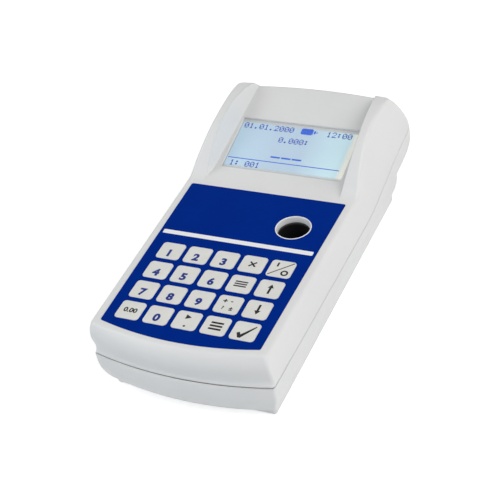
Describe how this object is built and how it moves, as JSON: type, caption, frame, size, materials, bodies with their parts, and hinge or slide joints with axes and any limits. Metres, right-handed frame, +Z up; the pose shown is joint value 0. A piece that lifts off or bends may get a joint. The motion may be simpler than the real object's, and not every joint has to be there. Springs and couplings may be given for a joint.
{
  "type": "compact photometer",
  "caption": "Battery powered bench photometer with a tilted display, a foil keypad and a round measuring well.",
  "frame": {"origin": "middle of the overall length and width, at the underside of the feet", "axes": "+X to the right of the keypad, +Y to the rear where the display is, +Z up"},
  "size_m": [0.1004, 0.2154, 0.065],
  "materials": {
    "housing_plastic": "fine textured pale grey moulding",
    "foil": "deep blue satin foil",
    "key_plastic": "warm light grey satin",
    "seal_rubber": "matt black",
    "foot_rubber": "matt dark grey",
    "circuit_board": "green solder mask",
    "contact_metal": "bright nickel",
    "screw_steel": "zinc plated",
    "window_clear": "clear pane",
    "lcd_glass": "light blue lit panel",
    "frame_metal": "plain sheet",
    "black_plastic": "matt black",
    "wheel_plastic": "matt black",
    "lamp_glass": "clear",
    "filter_glass": "coloured glass",
    "cell_jacket": "plain dark jacket"
  },
  "bodies": {
    "housing": {"upper_shell": "housing_plastic", "lower_shell": "housing_plastic", "shell_gasket": "seal_rubber", "keypad_foil": "foil", "keypad_board": "circuit_board", "snap_domes": "contact_metal", "keypad_screws": "screw_steel", "display_window": "window_clear", "lcd_panel": "lcd_glass", "lcd_frame": "frame_metal", "lcd_board": "circuit_board", "lcd_screws": "screw_steel", "optics_plate": "black_plastic", "lamp_holder": "black_plastic", "lamp": "lamp_glass", "filter_motor": "frame_metal", "cuvette_holder": "black_plastic", "well_seal": "seal_rubber", "collimator_lens": "lamp_glass", "photodiode": "frame_metal", "detector_board": "circuit_board", "battery_cells": "cell_jacket", "contact_leaves": "contact_metal", "main_board": "circuit_board", "board_parts": "black_plastic", "buzzer": "black_plastic", "board_screws": "screw_steel", "usb_socket": "frame_metal", "housing_screws": "screw_steel", "rubber_feet": "foot_rubber"},
    "key_1": {"key_1": "key_plastic"},
    "key_2": {"key_2": "key_plastic"},
    "key_3": {"key_3": "key_plastic"},
    "key_escape": {"key_escape": "key_plastic"},
    "key_power": {"key_power": "key_plastic"},
    "key_4": {"key_4": "key_plastic"},
    "key_5": {"key_5": "key_plastic"},
    "key_6": {"key_6": "key_plastic"},
    "key_memory": {"key_memory": "key_plastic"},
    "key_up": {"key_up": "key_plastic"},
    "key_7": {"key_7": "key_plastic"},
    "key_8": {"key_8": "key_plastic"},
    "key_9": {"key_9": "key_plastic"},
    "key_extend": {"key_extend": "key_plastic"},
    "key_down": {"key_down": "key_plastic"},
    "key_zero": {"key_zero": "key_plastic"},
    "key_0": {"key_0": "key_plastic"},
    "key_program": {"key_program": "key_plastic"},
    "key_menu": {"key_menu": "key_plastic"},
    "key_enter": {"key_enter": "key_plastic"},
    "wheel": {"filter_wheel": "wheel_plastic", "optical_filters": "filter_glass", "wheel_shaft": "screw_steel"},
    "door": {"battery_door": "housing_plastic"},
    "socket_cover": {"port_cover": "seal_rubber"}
  },
  "joints": [
    {"name": "key_1_press", "type": "slide", "parent": "housing", "child": "key_1", "axis": [0, 0, -1], "range_m": [0, 0.0004], "stiffness_N_per_m": 1500},
    {"name": "key_2_press", "type": "slide", "parent": "housing", "child": "key_2", "axis": [0, 0, -1], "range_m": [0, 0.0004], "stiffness_N_per_m": 1500},
    {"name": "key_3_press", "type": "slide", "parent": "housing", "child": "key_3", "axis": [0, 0, -1], "range_m": [0, 0.0004], "stiffness_N_per_m": 1500},
    {"name": "key_escape_press", "type": "slide", "parent": "housing", "child": "key_escape", "axis": [0, 0, -1], "range_m": [0, 0.0004], "stiffness_N_per_m": 1500},
    {"name": "key_power_press", "type": "slide", "parent": "housing", "child": "key_power", "axis": [0, 0, -1], "range_m": [0, 0.0004], "stiffness_N_per_m": 1500},
    {"name": "key_4_press", "type": "slide", "parent": "housing", "child": "key_4", "axis": [0, 0, -1], "range_m": [0, 0.0004], "stiffness_N_per_m": 1500},
    {"name": "key_5_press", "type": "slide", "parent": "housing", "child": "key_5", "axis": [0, 0, -1], "range_m": [0, 0.0004], "stiffness_N_per_m": 1500},
    {"name": "key_6_press", "type": "slide", "parent": "housing", "child": "key_6", "axis": [0, 0, -1], "range_m": [0, 0.0004], "stiffness_N_per_m": 1500},
    {"name": "key_memory_press", "type": "slide", "parent": "housing", "child": "key_memory", "axis": [0, 0, -1], "range_m": [0, 0.0004], "stiffness_N_per_m": 1500},
    {"name": "key_up_press", "type": "slide", "parent": "housing", "child": "key_up", "axis": [0, 0, -1], "range_m": [0, 0.0004], "stiffness_N_per_m": 1500},
    {"name": "key_7_press", "type": "slide", "parent": "housing", "child": "key_7", "axis": [0, 0, -1], "range_m": [0, 0.0004], "stiffness_N_per_m": 1500},
    {"name": "key_8_press", "type": "slide", "parent": "housing", "child": "key_8", "axis": [0, 0, -1], "range_m": [0, 0.0004], "stiffness_N_per_m": 1500},
    {"name": "key_9_press", "type": "slide", "parent": "housing", "child": "key_9", "axis": [0, 0, -1], "range_m": [0, 0.0004], "stiffness_N_per_m": 1500},
    {"name": "key_extend_press", "type": "slide", "parent": "housing", "child": "key_extend", "axis": [0, 0, -1], "range_m": [0, 0.0004], "stiffness_N_per_m": 1500},
    {"name": "key_down_press", "type": "slide", "parent": "housing", "child": "key_down", "axis": [0, 0, -1], "range_m": [0, 0.0004], "stiffness_N_per_m": 1500},
    {"name": "key_zero_press", "type": "slide", "parent": "housing", "child": "key_zero", "axis": [0, 0, -1], "range_m": [0, 0.0004], "stiffness_N_per_m": 1500},
    {"name": "key_0_press", "type": "slide", "parent": "housing", "child": "key_0", "axis": [0, 0, -1], "range_m": [0, 0.0004], "stiffness_N_per_m": 1500},
    {"name": "key_program_press", "type": "slide", "parent": "housing", "child": "key_program", "axis": [0, 0, -1], "range_m": [0, 0.0004], "stiffness_N_per_m": 1500},
    {"name": "key_menu_press", "type": "slide", "parent": "housing", "child": "key_menu", "axis": [0, 0, -1], "range_m": [0, 0.0004], "stiffness_N_per_m": 1500},
    {"name": "key_enter_press", "type": "slide", "parent": "housing", "child": "key_enter", "axis": [0, 0, -1], "range_m": [0, 0.0004], "stiffness_N_per_m": 1500},
    {"name": "filter_wheel_turn", "type": "hinge", "parent": "housing", "child": "wheel", "pos_m": [0.0055, 0.00217, 0.022], "axis": [1, 0, 0], "continuous": true},
    {"name": "battery_door_swing", "type": "hinge", "parent": "housing", "child": "door", "pos_m": [0, -0.0321, 0.0017], "axis": [1, 0, 0], "range_deg": [0, 100]},
    {"name": "port_cover_swing", "type": "hinge", "parent": "housing", "child": "socket_cover", "pos_m": [-0.022, 0.0807, 0.0155], "axis": [1, 0, 0], "range_deg": [0, 90]}
  ]
}
